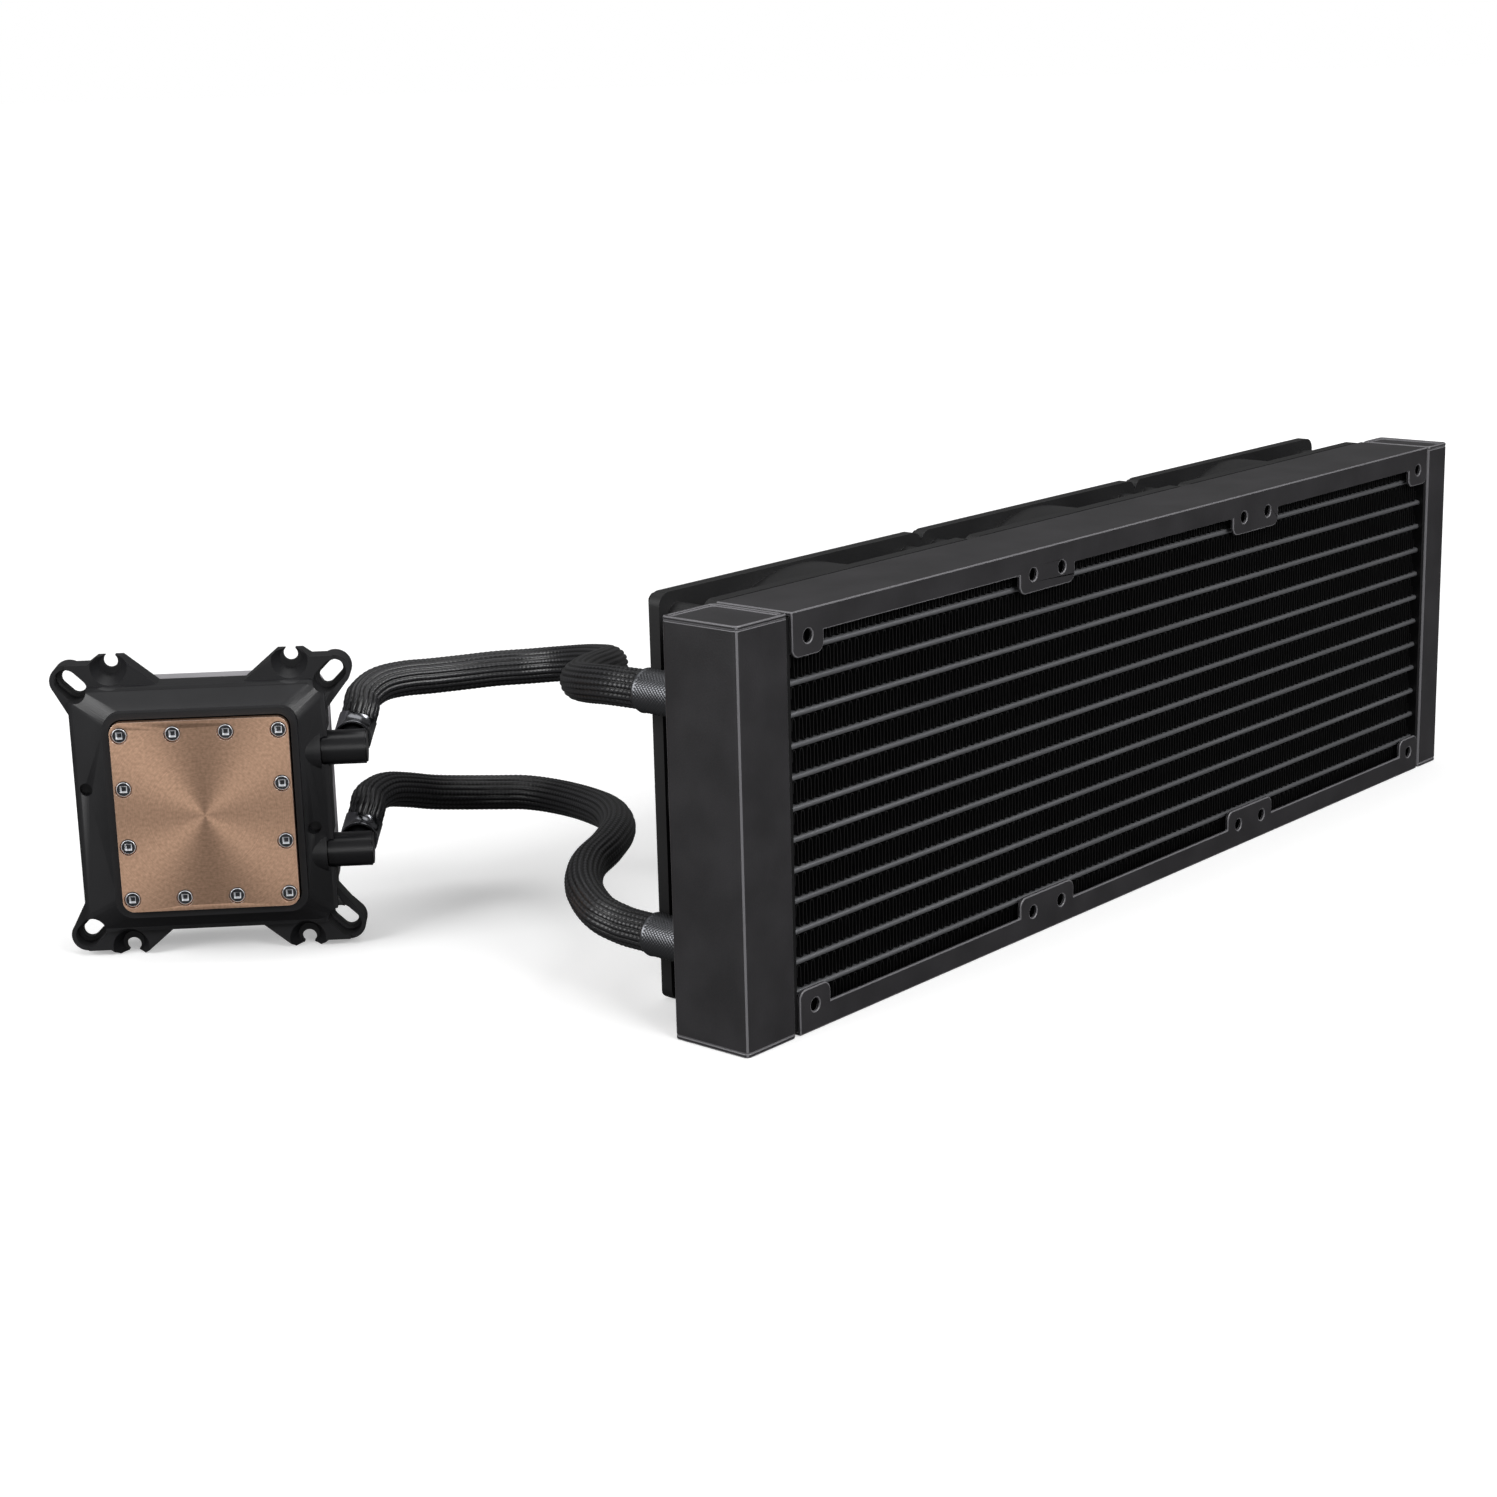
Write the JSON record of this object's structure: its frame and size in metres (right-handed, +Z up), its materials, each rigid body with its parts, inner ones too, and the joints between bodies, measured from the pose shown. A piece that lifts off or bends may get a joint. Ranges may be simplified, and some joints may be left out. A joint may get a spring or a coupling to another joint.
{
  "type": "liquid cooling radiator",
  "caption": "All-in-one liquid cooler: a long finned radiator with fans behind it, two braided hoses and a square pump block with a copper cold plate.",
  "frame": {"origin": "on the floor under the middle of the whole assembly's box", "axes": "+X along the radiator away from its hose fittings, +Y from its open face towards its fans and the pump block, +Z up"},
  "size_m": [0.4541, 0.2344, 0.12],
  "materials": {
    "tank": "satin black powder coat",
    "core_black": "black coat on thin aluminium",
    "tube_grey": "bare edge of the flat tubes",
    "raw_aluminium": "brazed, uncoated",
    "ferrule": "dark grey, knurled",
    "collar": "dark grey, polished",
    "dark_steel": "blackened",
    "screw_steel": "bright",
    "rubber": "matt",
    "fan_black": "moulded, fine grain",
    "matt_black": "glass-filled, matt",
    "elbow_black": "smooth",
    "natural_plastic": "unpigmented",
    "silver_plastic": "pale silver grey",
    "gloss_black": "gloss",
    "magnet": "bonded ferrite",
    "ceramic": "ground ceramic",
    "lamination": "stacked sheet",
    "copper_wire": "enamelled copper wire",
    "board": "green laminate",
    "bronze": "sintered bronze",
    "copper": "machined copper",
    "sleeve": "black braided sleeve over rubber"
  },
  "bodies": {
    "cooler": {"near_tank": "tank", "near_tank_caps": "tank", "tank_divider": "raw_aluminium", "far_tank": "tank", "far_tank_caps": "tank", "header_plates": "core_black", "coolant_tubes": "tube_grey", "fin_rows": "core_black", "top_rail": "tank", "bottom_rail": "tank", "fill_plug": "dark_steel", "fill_plug_seal": "rubber", "radiator_barbs": "raw_aluminium", "upper_radiator_ferrule": "ferrule", "lower_radiator_ferrule": "ferrule", "fan_bearings": "bronze", "fan_stators": "lamination", "fan_windings": "copper_wire", "fan_boards": "board", "fan_pads": "rubber", "fan_screws": "dark_steel", "cold_plate": "copper", "plate_screws": "screw_steel", "plate_gasket": "rubber", "mounting_bracket": "matt_black", "pump_housing": "matt_black", "flow_guide": "natural_plastic", "impeller_shaft": "ceramic", "pump_stator": "lamination", "pump_windings": "copper_wire", "circuit_board": "board", "top_cover": "silver_plastic", "cover_face": "gloss_black", "cover_screws": "dark_steel", "upper_hose": "sleeve", "lower_hose": "sleeve", "fan_1_frame": "fan_black", "fan_2_frame": "fan_black", "fan_3_frame": "fan_black"},
    "fan_1_spinner": {"fan_1_rotor": "fan_black", "fan_1_magnet": "magnet", "fan_1_shaft": "screw_steel"},
    "fan_2_spinner": {"fan_2_rotor": "fan_black", "fan_2_magnet": "magnet", "fan_2_shaft": "screw_steel"},
    "fan_3_spinner": {"fan_3_rotor": "fan_black", "fan_3_magnet": "magnet", "fan_3_shaft": "screw_steel"},
    "pump_rotor": {"impeller": "natural_plastic", "impeller_magnet": "magnet"},
    "upper_fitting": {"upper_elbow": "elbow_black", "upper_elbow_seal": "rubber", "upper_pump_ferrule": "collar"},
    "lower_fitting": {"lower_elbow": "elbow_black", "lower_elbow_seal": "rubber", "lower_pump_ferrule": "collar"}
  },
  "joints": [
    {"name": "fan_1_spin", "type": "hinge", "parent": "cooler", "child": "fan_1_spinner", "pos_m": [-0.0869, -0.0777, 0.06], "axis": [0, 1, 0], "continuous": true},
    {"name": "fan_2_spin", "type": "hinge", "parent": "cooler", "child": "fan_2_spinner", "pos_m": [0.0331, -0.0777, 0.06], "axis": [0, 1, 0], "continuous": true},
    {"name": "fan_3_spin", "type": "hinge", "parent": "cooler", "child": "fan_3_spinner", "pos_m": [0.1531, -0.0777, 0.06], "axis": [0, 1, 0], "continuous": true},
    {"name": "pump_spin", "type": "hinge", "parent": "cooler", "child": "pump_rotor", "pos_m": [-0.1916, 0.0788, 0.0468], "axis": [-0.7071, -0.7071, 0], "continuous": true},
    {"name": "upper_swivel", "type": "hinge", "parent": "cooler", "child": "upper_fitting", "pos_m": [-0.16982, 0.05108, 0.063], "axis": [0.7071, -0.7071, 0], "range_deg": [-20, 15], "deforming": ["upper_hose"]},
    {"name": "lower_swivel", "type": "hinge", "parent": "cooler", "child": "lower_fitting", "pos_m": [-0.16982, 0.05108, 0.0306], "axis": [0.7071, -0.7071, 0], "range_deg": [-20, 15], "deforming": ["lower_hose"]}
  ]
}
